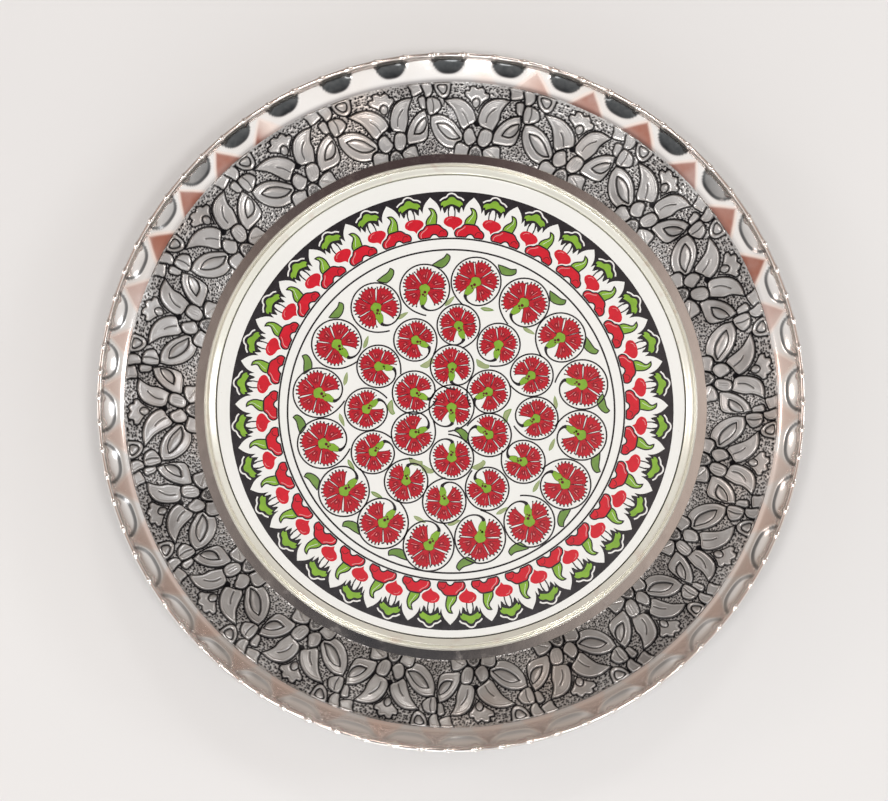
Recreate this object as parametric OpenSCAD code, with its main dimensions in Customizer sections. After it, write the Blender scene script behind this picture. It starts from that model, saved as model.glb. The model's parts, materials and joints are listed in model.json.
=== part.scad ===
// Round wall plate: an embossed, silver plated copper dish with a painted
// ceramic disc set in its middle, and a D ring on the back to hang it by.
// Z is up out of the painted face, Y points to the top of the hung plate,
// and the origin is the middle of the face that it rests on.

/* [Dish] */
// Outside diameter of the dish over its rolled rim
plate_d = 300; // [290:5:360]
// Height of the rim above the table
plate_h = 34; // [28:0.5:42]
// Thickness of the copper sheet
sheet_t = 0.8; // [0.6:0.1:1.2]
// Diameter of the rolled rim bead
bead_d = 2.4; // [2:0.1:3.2]
// Radial width of the fluted flange, bead included
flange_w = 10; // [8:0.5:14]
// Rise of the embossed band
band_h = 15; // [12:0.5:18]
// Width of the polished step between the bezel and the band
step_w = 4; // [2:0.5:8]
// Outside corner radius where the well meets its floor
well_fillet = 2.2; // [1.5:0.1:4]

/* [Ceramic disc] */
// Diameter of the painted ceramic disc
tile_d = 204; // [160:1:212]
// Thickness of the ceramic disc
tile_t = 5; // [4:0.5:8]
// Rounding of the disc's upper edge
tile_edge = 0.5; // [0.2:0.1:1]
// Thickness of the mastic under the disc
mastic_t = 1; // [0.5:0.1:2]
// Width of one bead of mastic
mastic_w = 9; // [5:1:14]

/* [Bezel ring] */
// Width of the bezel's crown
bezel_w = 5; // [4.5:0.1:8]
// Height of the crown above the step
bezel_h = 2; // [1.5:0.1:3]
// Wall of the skirt that lines the well
skirt_t = 0.8; // [0.5:0.1:1.5]
// Depth of the skirt below the step
skirt_h = 3.4; // [2:0.1:4]
// Depth of the solder groove under the crown
solder_groove = 0.4; // [0.2:0.1:0.8]

/* [Hanger] */
// Diameter of the ring's wire
wire_d = 1.8; // [1.4:0.1:2.4]
// Distance between the middles of the ring's two legs
ring_w = 11; // [9.5:0.5:16]
// Bend radius at the ends of the ring's straight bar
ring_bend = 1.5; // [1.2:0.1:2.5]
// Width of the folded tab along the bar
tab_w = 6; // [4:0.5:7]
// Thickness of the tab's strip
tab_t = 0.8; // [0.6:0.1:1.2]
// Length of the tab that lies on the dish
tab_l = 9; // [6:0.5:12]
// Distance from the flange in to the tab's eye
tab_setback = 6; // [4:0.5:10]

/* [Clearances] */
// Gap between the disc's edge and the bezel
tile_gap = 0.5; // [0.3:0.05:0.8]
// Gap between the bezel's skirt and the well
skirt_gap = 0.2; // [0.1:0.05:0.4]
// Radial gap between the ring's bar and the tab's eye
eye_gap = 0.05; // [0.02:0.01:0.1]
// Film of solder between the tab and the dish
solder_film = 0.25; // [0.1:0.05:0.4]
// Width of the solder fillet round the tab
solder_lip = 0.9; // [0.4:0.1:1.2]
// Gap between the hanging ring and the table
ring_floor_gap = 1; // [0.5:0.1:2]

/* [Hidden] */
$fn = 96;

// Heights, from the table up
tile_z = sheet_t + mastic_t;
face_z = tile_z + tile_t;
band_top_z = face_z + band_h;

// Radii, from the disc out
bezel_in_r = tile_d / 2 + tile_gap;
bezel_out_r = bezel_in_r + bezel_w;
skirt_out_r = bezel_in_r + skirt_t;
well_r = skirt_out_r + skirt_gap;
band_in_r = bezel_out_r + step_w;
band_out_r = plate_d / 2 - flange_w;
bead_r = bead_d / 2;
bead_c = [plate_d / 2 - bead_r, plate_h - bead_r];

// The flange is one sweep from the band's slope up into the bead
band_angle = atan2(band_h, band_out_r - band_in_r);
flange_start = [band_out_r, band_top_z];
flange_pull = 0.55 * flange_w * [cos(band_angle), sin(band_angle)];
function sweep(a, b, c, s) = (1 - s) * (1 - s) * a + 2 * s * (1 - s) * b + s * s * c;
flange_steps = 6;
flange = [for (i = [0 : flange_steps])
    sweep(flange_start, flange_start + flange_pull, bead_c, i / flange_steps)];

// Upper line of the dish, from the middle out
well_bend = well_fillet - sheet_t;
well_arc = [for (a = [-90 : 22.5 : 0])
    [well_r - well_bend + well_bend * cos(a), sheet_t + well_bend * (1 + sin(a))]];
upper = concat([[0, sheet_t]], well_arc, [[well_r, face_z], [band_in_r, face_z]], flange);

// The same line moved through the sheet, square to each of its stretches
function across(a, b) = [b.y - a.y, a.x - b.x] / norm(b - a);
function back_point(p, n, m) = p + sheet_t * (n + m) / (1 + n * m);
count = len(upper);
back = [for (i = [count - 1 : -1 : 0])
    back_point(upper[i],
        across(upper[max(i - 1, 0)], upper[max(i, 1)]),
        across(upper[min(i, count - 2)], upper[min(i + 1, count - 1)]))];

// Hinge of the ring: its bar runs across, square to the dish's Y axis
eye_in_r = wire_d / 2 + eye_gap;
eye_out_r = eye_in_r + tab_t;
seat_r = band_out_r - tab_setback;
seat_z = face_z + (seat_r - band_in_r) * tan(band_angle) - sheet_t / cos(band_angle);
eye_off = solder_film + eye_out_r;
hinge_y = seat_r + eye_off * sin(band_angle);
hinge_z = seat_z - eye_off * cos(band_angle);
leg_l = hinge_z - ring_floor_gap - wire_d / 2 - ring_w / 2 - ring_bend;
bar_half = ring_w / 2 - ring_bend;

// Places things on the back of the band: X across, Y up the slope, Z off the sheet
module on_band_back() {
    translate([0, seat_r, seat_z]) rotate([band_angle, 0, 0]) mirror([0, 0, 1]) children();
}

module sheet_body() {
    rotate_extrude($fn = 360) polygon(concat(upper, back));
    rotate_extrude($fn = 360) translate(bead_c) circle(r = bead_r, $fn = 32);
}

module plate_sheet() {
    color("silver") sheet_body();
}

module ceramic_disc() {
    edge_c = [tile_d / 2 - tile_edge, face_z - tile_edge];
    rounding = [for (a = [0 : 22.5 : 90]) edge_c + tile_edge * [cos(a), sin(a)]];
    color("ivory") rotate_extrude()
        polygon(concat([[0, tile_z], [tile_d / 2, tile_z]], rounding, [[0, face_z]]));
}

// Crown with a broad inner slope, a crest, a groove and an outer bead
module bezel_ring() {
    skirt_z = face_z - skirt_h;
    groove_in = bezel_in_r + 0.45 * bezel_w;
    groove_out = bezel_in_r + 0.85 * bezel_w;
    crown = [[0, 0.22], [0.42, 0.88], [0.48, 0.97], [0.54, 1], [0.6, 0.95], [0.65, 0.8],
        [0.7, 0.42], [0.75, 0.56], [0.81, 0.65], [0.87, 0.65], [0.93, 0.56], [0.98, 0.38],
        [1, 0.15], [1, 0]];
    color("gainsboro") rotate_extrude() difference() {
        polygon(concat(
            [for (p = crown) [bezel_in_r + p.x * bezel_w, face_z + p.y * bezel_h]],
            [[skirt_out_r, face_z], [skirt_out_r, skirt_z], [bezel_in_r, skirt_z]]));
        translate([groove_in, face_z - 1])
            square([groove_out - groove_in, 1 + solder_groove]);
    }
}

// Middle dab and rings of mastic that hold the disc down
module mastic_bed() {
    ring_gap = 2 * mastic_w;
    last = floor((tile_d / 2 - 2 * mastic_w) / (mastic_w + ring_gap));
    color("tan") translate([0, 0, sheet_t]) {
        cylinder(h = mastic_t, r = mastic_w);
        for (i = [1 : last]) rotate_extrude()
            translate([i * (mastic_w + ring_gap), 0]) square([mastic_w, mastic_t]);
    }
}

// Solder that fills the groove under the crown
module bezel_solder() {
    groove_in = bezel_in_r + 0.45 * bezel_w;
    color("darkgray") rotate_extrude()
        translate([groove_in, face_z]) square([0.4 * bezel_w, solder_groove]);
}

module tab_body() {
    rotate([90, 0, 90]) linear_extrude(height = tab_w, center = true) difference() {
        union() {
            translate([0, eye_off]) circle(r = eye_out_r);
            translate([-tab_l, solder_film]) square([tab_l, 2 * tab_t]);
        }
        translate([0, eye_off]) circle(r = eye_in_r);
    }
}

// Strip folded round the ring's bar, both leaves lying on the dish
module hanger_tab() {
    color("peru") on_band_back() tab_body();
}

// Solder between the tab and the dish, with a low fillet round it
module tab_solder() {
    lip_w = tab_w + 2 * solder_lip;
    lip_l = tab_l + solder_lip - eye_out_r;
    color("darkgray") difference() {
        on_band_back() difference() {
            translate([-lip_w / 2, -tab_l - solder_lip, -sheet_t / 2])
                cube([lip_w, lip_l, sheet_t / 2 + solder_film + tab_t / 2]);
            tab_body();
        }
        sheet_body();
    }
}

// D shaped wire ring, hanging straight down from its bar
module hanging_ring() {
    wire_r = wire_d / 2;
    color("goldenrod") translate([0, hinge_y, hinge_z]) rotate([90, 0, 0]) union() {
        translate([-bar_half, 0, 0]) rotate([0, 90, 0]) cylinder(h = 2 * bar_half, r = wire_r);
        for (side = [0, 1]) mirror([side, 0, 0]) {
            translate([bar_half, -ring_bend, 0])
                rotate_extrude(angle = 90) translate([ring_bend, 0]) circle(r = wire_r);
            translate([ring_w / 2, -ring_bend - leg_l, 0])
                rotate([-90, 0, 0]) cylinder(h = leg_l, r = wire_r);
        }
        translate([0, -ring_bend - leg_l, 0]) rotate([0, 0, 180])
            rotate_extrude(angle = 180) translate([ring_w / 2, 0]) circle(r = wire_r);
    }
}

plate_sheet();
ceramic_disc();
bezel_ring();
mastic_bed();
bezel_solder();
hanger_tab();
tab_solder();
hanging_ring();
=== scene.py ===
import json
import math
import random

import bpy
import numpy as np
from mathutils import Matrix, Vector


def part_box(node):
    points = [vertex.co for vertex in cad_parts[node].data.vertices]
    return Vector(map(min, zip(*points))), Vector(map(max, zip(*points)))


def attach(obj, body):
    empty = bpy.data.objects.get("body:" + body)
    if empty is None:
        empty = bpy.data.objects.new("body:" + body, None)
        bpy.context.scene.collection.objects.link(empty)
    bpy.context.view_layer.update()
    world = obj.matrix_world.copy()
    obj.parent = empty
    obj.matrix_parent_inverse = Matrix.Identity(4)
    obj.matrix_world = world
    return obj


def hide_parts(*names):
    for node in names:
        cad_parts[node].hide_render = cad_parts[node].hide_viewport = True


# Round wall plate: a silver plated dish, embossed and fluted, round a painted ceramic disc.
# Shapes below are written in millimetres and scaled to metres as each mesh is made.
mm = 0.001
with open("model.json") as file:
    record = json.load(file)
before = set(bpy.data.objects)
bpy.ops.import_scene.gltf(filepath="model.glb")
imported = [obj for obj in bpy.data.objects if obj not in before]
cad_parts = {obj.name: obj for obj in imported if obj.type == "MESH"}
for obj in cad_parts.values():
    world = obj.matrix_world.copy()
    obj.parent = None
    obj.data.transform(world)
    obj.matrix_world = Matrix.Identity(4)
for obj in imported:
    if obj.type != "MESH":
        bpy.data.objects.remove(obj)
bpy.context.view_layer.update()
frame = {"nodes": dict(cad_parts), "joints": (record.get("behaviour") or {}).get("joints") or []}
bpy.ops.object.select_all(action="DESELECT")

plateHi, discHi, bezelHi = (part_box(node)[1] for node in ("plate_sheet", "ceramic_disc", "bezel_ring"))
rimR, rimZ = plateHi.x / mm, plateHi.z / mm
bezelR, bezelTop = bezelHi.x / mm, bezelHi.z / mm
faceZ = discHi.z / mm
hinge = [value / mm for value in frame["joints"][0]["pos_m"]]


def smooth(value, low, high):
    t = np.clip((value - low) / (high - low), 0, 1)
    return t * t * (3 - 2 * t)


def unit(v):
    return v / max(float(np.hypot(*v)), 1e-9)


def curve(points, closed=True, per=5):  # a smooth line through the points; a third value of 1 keeps a corner
    pts = [np.array(p[:2], float) for p in points]
    sharp = [len(p) > 2 for p in points]
    n = len(pts)
    line = []
    for i in range(n if closed else n - 1):
        j = (i + 1) % n
        a, b = pts[i], pts[j]
        span = float(np.hypot(*(b - a)))
        ta = tb = b - a
        if not sharp[i] and (closed or i > 0):
            ta = unit(b - pts[i - 1]) * span
        if not sharp[j] and (closed or j < n - 1):
            tb = unit(pts[(j + 1) % n] - a) * span
        for k in range(per):
            s = k / per
            line.append((2 * s**3 - 3 * s**2 + 1) * a + (s**3 - 2 * s**2 + s) * ta
                        + (3 * s**2 - 2 * s**3) * b + (s**3 - s**2) * tb)
    if not closed:
        line.append(pts[-1])
    return np.array(line)


def meshFrom(name, verts, faces, smoothed=True):  # verts in millimetres
    mesh = bpy.data.meshes.new(name)
    mesh.from_pydata((np.asarray(verts) * mm).tolist(), [], faces)
    mesh.update()
    if smoothed:
        mesh.shade_smooth()
    piece = bpy.data.objects.new(name, mesh)
    bpy.context.scene.collection.objects.link(piece)
    return piece


def settle(piece, finish, body, slotName, *nodes):  # finish, body and record names of a finished piece
    piece.data.materials.clear()
    piece.data.materials.append(finish)
    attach(piece, body)
    if nodes:
        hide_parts(*nodes)
    return piece


def chosen(piece):
    bpy.ops.object.select_all(action="DESELECT")
    piece.select_set(True)
    bpy.context.view_layer.objects.active = piece


def faceOut(piece):  # turns the faces of a closed piece outwards
    chosen(piece)
    bpy.ops.object.mode_set(mode="EDIT")
    bpy.ops.mesh.select_all(action="SELECT")
    bpy.ops.mesh.normals_make_consistent(inside=False)
    bpy.ops.object.mode_set(mode="OBJECT")


def keepMark(mesh, name, values):  # a number at each point, which the finish reads
    values = np.asarray(values, np.float32).ravel()
    mesh.attributes.new(name, "FLOAT", "POINT").data.foreach_set("value", values)


def keepSharp(mesh, onEdge):  # edges between two marked points stay sharp
    pairs = np.empty(len(mesh.edges) * 2, int)
    mesh.edges.foreach_get("vertices", pairs)
    sharp = onEdge[pairs.reshape(-1, 2)].all(1)
    mesh.attributes.new("sharp_edge", "BOOLEAN", "EDGE").data.foreach_set("value", sharp)


def spun(name, profile, steps=360, sharpAngle=35):  # turns a closed (radius, height) outline round the Z axis
    bpy.ops.object.select_all(action="DESELECT")
    bpy.ops.mesh.primitive_plane_add(size=0.001)
    piece = bpy.context.object
    piece.name = name
    piece.data.name = name
    bpy.ops.object.mode_set(mode="EDIT")
    bpy.ops.mesh.select_all(action="SELECT")
    bpy.ops.mesh.merge(type="CENTER")
    here = Vector((0, 0, 0))
    start = Vector((profile[0][0] * mm, 0, profile[0][1] * mm))
    bpy.ops.transform.translate(value=start - here)
    here = start
    for r, z in profile[1:]:
        there = Vector((r * mm, 0, z * mm))
        bpy.ops.mesh.extrude_region_move(TRANSFORM_OT_translate={"value": there - here})
        here = there
    bpy.ops.mesh.select_all(action="SELECT")
    bpy.ops.mesh.spin(steps=steps, angle=math.tau, center=(0, 0, 0), axis=(0, 0, 1))
    bpy.ops.mesh.select_all(action="SELECT")
    bpy.ops.mesh.remove_doubles(threshold=1e-6)
    bpy.ops.mesh.normals_make_consistent(inside=False)
    bpy.ops.object.mode_set(mode="OBJECT")
    bpy.ops.object.shade_smooth_by_angle(angle=math.radians(sharpAngle))
    return piece


class Wire:  # a shader socket that can be used in Python sums
    def __init__(self, tree, socket=None):
        self.tree, self.socket = tree, socket

    def node(self, kind, settings=None, inputs=None, out=0):
        made = self.tree.nodes.new(kind)
        for name, value in (settings or {}).items():
            if name == "stops":
                ramp = made.color_ramp.elements
                while len(ramp) < len(value):
                    ramp.new(1)
                for stop, (place, colour) in zip(ramp, value):
                    stop.position, stop.color = place, colour
            else:
                setattr(made, name, value)
        for name, value in (inputs or {}).items():
            if isinstance(value, Wire):
                self.tree.links.new(value.socket, made.inputs[name])
            else:
                made.inputs[name].default_value = value
        return Wire(self.tree, made.outputs[out])

    def sum(self, operation, a, b):
        return self.node("ShaderNodeMath", {"operation": operation}, {0: a, 1: b})

    def __add__(self, other):
        return self.sum("ADD", self, other)

    def __radd__(self, other):
        return self.sum("ADD", other, self)

    def __sub__(self, other):
        return self.sum("SUBTRACT", self, other)

    def __rsub__(self, other):
        return self.sum("SUBTRACT", other, self)

    def __mul__(self, other):
        return self.sum("MULTIPLY", self, other)

    def __rmul__(self, other):
        return self.sum("MULTIPLY", other, self)

    def clipped(self):
        return self.node("ShaderNodeClamp", {}, {"Value": self})

    def over(self, low, high):  # 0 at low, 1 at high
        return self.node("ShaderNodeMapRange", {"clamp": True},
                         {"Value": self, "From Min": low, "From Max": high})

    def blend(self, a, b):  # this wire mixes two colours
        return self.node("ShaderNodeMix", {"data_type": "RGBA"}, {0: self, 6: a, 7: b}, 2)

    def place(self):
        return self.node("ShaderNodeTexCoord", out="Object")

    def noise(self, scale, detail=3.0, rough=0.5, at=None):
        return self.node("ShaderNodeTexNoise", {},
                         {"Vector": at or self.place(), "Scale": scale, "Detail": detail, "Roughness": rough})

    def mark(self, name):  # a number kept on the mesh
        return self.node("ShaderNodeAttribute", {"attribute_name": name}, out="Fac")

    def bump(self, height, strength, distance, under=None):
        inputs = {"Height": height, "Strength": strength, "Distance": distance}
        if under:
            inputs["Normal"] = under
        return self.node("ShaderNodeBump", {}, inputs)


def newFinish(name, fixed):
    finish = bpy.data.materials.new(name)
    finish.use_nodes = True
    shader = finish.node_tree.nodes["Principled BSDF"]
    for socket, value in fixed.items():
        shader.inputs[socket].default_value = value
    return finish, Wire(finish.node_tree), shader


def feed(wire, shader, varied):
    for socket, value in varied.items():
        wire.tree.links.new(value.socket, shader.inputs[socket])


silver = {
    "bright": (0.80, 0.775, 0.76, 1),
    "warm": (0.72, 0.60, 0.52, 1),
    # near-black: patina, and also the painted reflection that darkens the flange's hollows
    "patina": (0.030, 0.036, 0.040, 1),
    "aged": (0.62, 0.605, 0.595, 1),
    "tarnish": (0.34, 0.32, 0.31, 1),
    "oxide": (0.012, 0.011, 0.013, 1),
    # peach of worn copper, also standing in for warm reflections on the flange's sides: partly real wear, partly
    # painted reflection
    "peachWearAndReflection": (0.82, 0.62, 0.53, 1),
    "copper": (0.34, 0.13, 0.09, 1),
}


def embossedSilver():
    finish, w, shader = newFinish("embossedSilver", {"Metallic": 1.0})
    oxide = w.mark("oxide")
    cloud = w.noise(60, 4)
    grain = w.noise(900, 3)
    dirt = (oxide + (cloud - 0.5) * 0.25 * oxide).clipped()
    base = cloud.over(0.35, 0.7).blend(silver["aged"], silver["tarnish"])
    rubbed = w.noise(22, 3).over(0.58, 0.75)
    base = (rubbed * 0.45).blend(base, silver["warm"])
    colour = dirt.blend(base, silver["oxide"])
    rough = 0.24 + cloud.over(0.3, 0.8) * 0.12 + dirt * 0.35
    feed(w, shader, {
        "Base Color": colour,
        "Roughness": rough,
        "Normal": w.bump(grain, 0.25, 0.00008),
    })
    return finish


def polishedSilver(name, roughLow, roughHigh, warmth):
    finish, w, shader = newFinish(name, {"Metallic": 1.0})
    cloud = w.noise(26, 4, 0.55)
    fine = w.noise(420, 4, 0.6)
    scuff = w.noise(140, 6, 0.7).over(0.56, 0.72)
    wear = w.mark("wear")
    base = cloud.over(0.3, 0.75).blend(silver["bright"], (0.70, 0.66, 0.63, 1))
    base = (w.noise(9, 3).over(0.5, 0.75) * warmth).blend(base, silver["warm"])
    # bare copper where worn; on the flange its amount by angle is partly real wear, partly painted reflection
    bare = (wear * 1.3 + w.noise(60, 3) * 0.8 - 0.8).clipped()
    base = bare.blend(base, wear.over(0.72, 0.98).blend(silver["peachWearAndReflection"], silver["copper"]))
    # the flange's hollows darken here by angle: mostly painted reflection of dark surroundings, partly patina
    base = (w.mark("patina") * (0.86 + fine * 0.14)).clipped().blend(base, silver["patina"])
    feed(w, shader, {
        "Base Color": base,
        "Roughness": roughLow + cloud * (roughHigh - roughLow) + scuff * 0.07,
        "Normal": w.bump(fine, 0.10, 0.00006, w.bump(w.noise(55, 2), 0.12, 0.0006)),
    })
    return finish


def glazedWhite():
    finish, w, shader = newFinish("glazedWhite", {"Coat Roughness": 0.06, "IOR": 1.5, "Coat Weight": 0.6})
    cloud = w.noise(30, 3)
    speck = w.noise(700, 2).over(0.72, 0.78)
    base = cloud.over(0.3, 0.7).blend((0.89, 0.90, 0.88, 1), (0.86, 0.875, 0.85, 1))
    base = (speck * 0.25).blend(base, (0.45, 0.42, 0.36, 1))
    feed(w, shader, {
        "Base Color": base,
        "Roughness": 0.16 + cloud * 0.10,
        "Normal": w.bump(w.noise(160, 2), 0.05, 0.0002),
    })
    return finish


def glazePaint(name, light, deep, streak=260):
    finish, w, shader = newFinish(name, {"Coat Weight": 0.6, "Coat Roughness": 0.06, "IOR": 1.5})
    patch = w.noise(streak, 4, 0.6)
    pool = w.noise(90, 2)
    base = patch.over(0.32, 0.68).blend(light, deep)
    base = (pool.over(0.55, 0.8) * 0.35).blend(base, deep)
    feed(w, shader, {
        "Base Color": base,
        "Roughness": 0.2 + patch * 0.12,
        "Normal": w.bump(patch, 0.06, 0.00005),
    })
    return finish


def plainMetal(name, light, dark, rough, wearColour):
    finish, w, shader = newFinish(name, {"Metallic": 1.0})
    cloud = w.noise(300, 4, 0.6)
    spots = w.noise(1200, 3)
    base = cloud.over(0.35, 0.65).blend(light, dark)
    base = (spots.over(0.62, 0.72) * 0.6).blend(base, wearColour)
    feed(w, shader, {
        "Base Color": base,
        "Roughness": rough + cloud * 0.2,
        "Normal": w.bump(spots, 0.2, 0.00006),
    })
    return finish


def rubberPutty():
    finish, w, shader = newFinish("masticPutty", {"Specular IOR Level": 0.3})
    lumps = w.noise(180, 4)
    feed(w, shader, {
        "Base Color": lumps.over(0.3, 0.7).blend((0.42, 0.33, 0.22, 1), (0.30, 0.22, 0.14, 1)),
        "Roughness": 0.65 + lumps * 0.2,
        "Normal": w.bump(lumps, 0.6, 0.0003),
    })
    return finish


def reflectingCreamSilver():  # pale satin plating of the bezel, made half diffuse and cream so that it shows as bright as the white disc it mirrors: a painted reflection
    finish, w, shader = newFinish("bezelSilver", {"Metallic": 0.55, "Specular IOR Level": 0.5})
    cloud = w.noise(26, 4, 0.55)
    fine = w.noise(420, 4, 0.6)
    base = cloud.over(0.3, 0.75).blend((0.90, 0.89, 0.80, 1), (0.80, 0.79, 0.70, 1))
    base = (w.noise(150, 4).over(0.60, 0.72) * 0.5).blend(base, silver["warm"])
    feed(w, shader, {
        "Base Color": base,
        "Roughness": 0.12 + cloud * 0.12,
        "Normal": w.bump(fine, 0.10, 0.00006, w.bump(w.noise(55, 2), 0.10, 0.0004)),
    })
    return finish


embossedFinish = embossedSilver()
flangeFinish = polishedSilver("flangeSilver", 0.10, 0.20, 0.35)
wellFinish = polishedSilver("stepSilver", 0.08, 0.15, 0.30)
bezelFinish = reflectingCreamSilver()
print("finishes made")


band = {
    "innerR": 111.5, "outerR": 140.0, "outerZ": 21.8, "sheet": 0.8,
    "cell": 41.6,  # width that one repeat is drawn at
    "centres": [4, 24.2, 44.2, 63.5, 83.5, 101.5, 119.8, 136.2, 155, 173.7, 191, 209.5, 229, 247.3,
                266.7, 286, 305.5, 325.7, 346.2],  # degrees clockwise from the top
    "columns": 138, "rows": 108, "backStep": 3,
    "shares": [5, 5, 5, 4],  # repeats in each modelled length
    "mapStep": 0.15,  # fineness of the drawn relief
    "groundHeight": -0.32, "groundOxide": 0.12,  # the plain ground between the leaves
    "stipple": (1.05, 0.42, 0.31), "stray": 0.42,  # spacing, depth and radius of the punch marks, and their drift
    "seed": 7,
}
repeats = len(band["centres"])
bandRun = math.hypot(band["outerR"] - band["innerR"], band["outerZ"] - faceZ)
alongR = (band["outerR"] - band["innerR"]) / bandRun
alongZ = (band["outerZ"] - faceZ) / bandRun
phaseAngles = [band["centres"][-1] - 360] + band["centres"] + [band["centres"][0] + 360]
phaseNumbers = list(range(-1, repeats + 1))


def phaseToAngle(phase):
    return np.interp(phase, phaseNumbers, phaseAngles)


leafLeft = [(-21.8, 17.3, 1), (-18.3, 18.0), (-14.5, 17.0), (-11.1, 14.7), (-8.5, 11.6), (-6.5, 8.5),
            (-6.8, 5.8, 1), (-9.4, 4.8), (-10.9, 2.1, 1), (-14.8, 2.8), (-17.9, 4.8), (-20.3, 7.9), (-22.0, 12.6)]
eyeLeft = [(-18.9, 13.8, 1), (-15.5, 13.8), (-12.1, 11.8), (-9.7, 9.1), (-7.9, 7.0, 1), (-10.8, 6.4),
           (-13.8, 7.3), (-16.4, 9.5), (-18.1, 11.8)]
leafUpLeft = [(-15.5, 24.1, 1), (-12.1, 24.8), (-8.7, 24.7), (-5.7, 23.5), (-2.9, 21.2), (-0.9, 18.4),
              (0.1, 15.3, 1), (-1.2, 13.8), (-2.9, 12.9), (-6.0, 10.3, 1), (-7.7, 11.8), (-8.9, 14.5),
              (-10.1, 17.3), (-11.4, 19.6), (-13.1, 21.5)]
veinUpLeft = [(-7.2, 19.0), (-5.7, 17.3), (-4.6, 15.3), (-4.0, 13.8)]
leafUpRight = [(12.4, 26.2, 1), (9.3, 26.6), (6.3, 26.1), (3.5, 24.3), (1.8, 21.5), (0.8, 18.4), (0.5, 14.9),
               (1.5, 12.9, 1), (4.2, 12.1), (7.1, 11.0, 1), (8.5, 14.2), (9.5, 17.3), (9.7, 20.4), (10.7, 23.1)]
veinUpRight = [(7.3, 21.9), (5.6, 20.0), (4.4, 17.7), (4.0, 14.9)]
leafRight = [(17.5, 20.6, 1), (14.1, 19.2), (10.7, 16.1), (8.3, 12.2), (7.1, 7.9), (7.6, 5.8, 1), (11.0, 5.8),
             (14.8, 6.0), (17.5, 7.3), (18.5, 11.0), (18.5, 16.5)]
eyeRight = [(11.4, 10.3, 1), (12.7, 13.0), (14.9, 15.5), (17.5, 16.9, 1), (17.8, 14.2), (16.5, 11.4), (14.4, 10.1)]
petalUpLeft = [(-6.3, 8.5), (-5.5, 10.5), (-3.3, 12.0), (-1.7, 11.4), (-0.5, 9.1), (0.5, 6.8), (-0.9, 4.8),
               (-2.9, 3.7), (-4.6, 4.0), (-6.0, 5.8)]
petalUpRight = [(0.6, 6.6), (1.2, 9.5), (2.5, 11.8), (4.9, 12.2), (7.1, 11.0), (7.4, 8.1), (6.4, 5.6),
                (4.4, 3.8), (2.5, 3.8), (1.0, 4.8)]
petalLowLeft = [(-10.6, 2.1), (-9.7, 4.4), (-7.7, 5.2), (-5.3, 4.4), (-2.9, 3.3), (-3.3, 0.9), (-4.3, -1.4),
                (-10.1, -1.4)]
petalLowRight = [(3.5, 2.3), (5.9, 4.4), (9.3, 5.4), (11.4, 4.8), (12.0, 2.1), (12.0, -1.4), (4.2, -1.4)]
budHeart = [(-2.9, -1.4), (-2.8, 1.7), (-1.4, 3.7), (0.3, 4.4), (2.0, 3.7), (3.4, 1.7), (3.7, -1.4)]
palmette = [(-6.3, 26.0), (-6.2, 28.0), (-4.6, 28.3, 1), (-4.1, 30.3), (-2.4, 30.5), (-1.2, 29.5, 1), (0.5, 30.3),
            (1.8, 29.1), (2.0, 28.0, 1), (3.5, 27.6), (3.9, 25.8), (2.5, 24.3), (1.2, 22.3), (0, 19.2, 1),
            (-1.6, 21.2), (-4.0, 23.9)]
palmetteBud = [(-2.6, 23.5), (-1.1, 25.2), (0.5, 23.7), (0.1, 21.5), (-1.1, 20.8), (-2.3, 21.7)]
knotPetalA = [(-19.4, 31.7), (-16.2, 32.2), (-12.8, 32.0), (-12.5, 28.9), (-13.3, 25.8), (-15.4, 24.7),
              (-17.7, 26.0), (-19.1, 28.2)]
knotPetalInner = [(-17.9, 30.6), (-14.6, 30.8), (-14.2, 28.6), (-15.4, 26.9), (-17.2, 28.3)]
knotHeart = [(-23.0, 25.2), (-20.3, 25.7), (-17.9, 24.7), (-16.5, 21.9), (-16.7, 20.4), (-18.3, 18.8),
             (-20.8, 17.7), (-22.8, 18.2)]
knotSide = [(14.8, 25.8), (17.5, 26.4), (18.2, 23.5), (17.8, 20.0), (15.6, 21.2), (14.9, 23.5)]
knotPetalB = [(11.0, 32.2), (16.5, 32.2), (17.3, 28.5), (15.8, 27.4), (12.4, 26.6), (11.7, 29.3)]
knotCurl = [(16.8, 32.2), (20.6, 32.0), (21.7, 28.9), (20.7, 26.4), (18.5, 25.4), (17.5, 28.2)]


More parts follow.
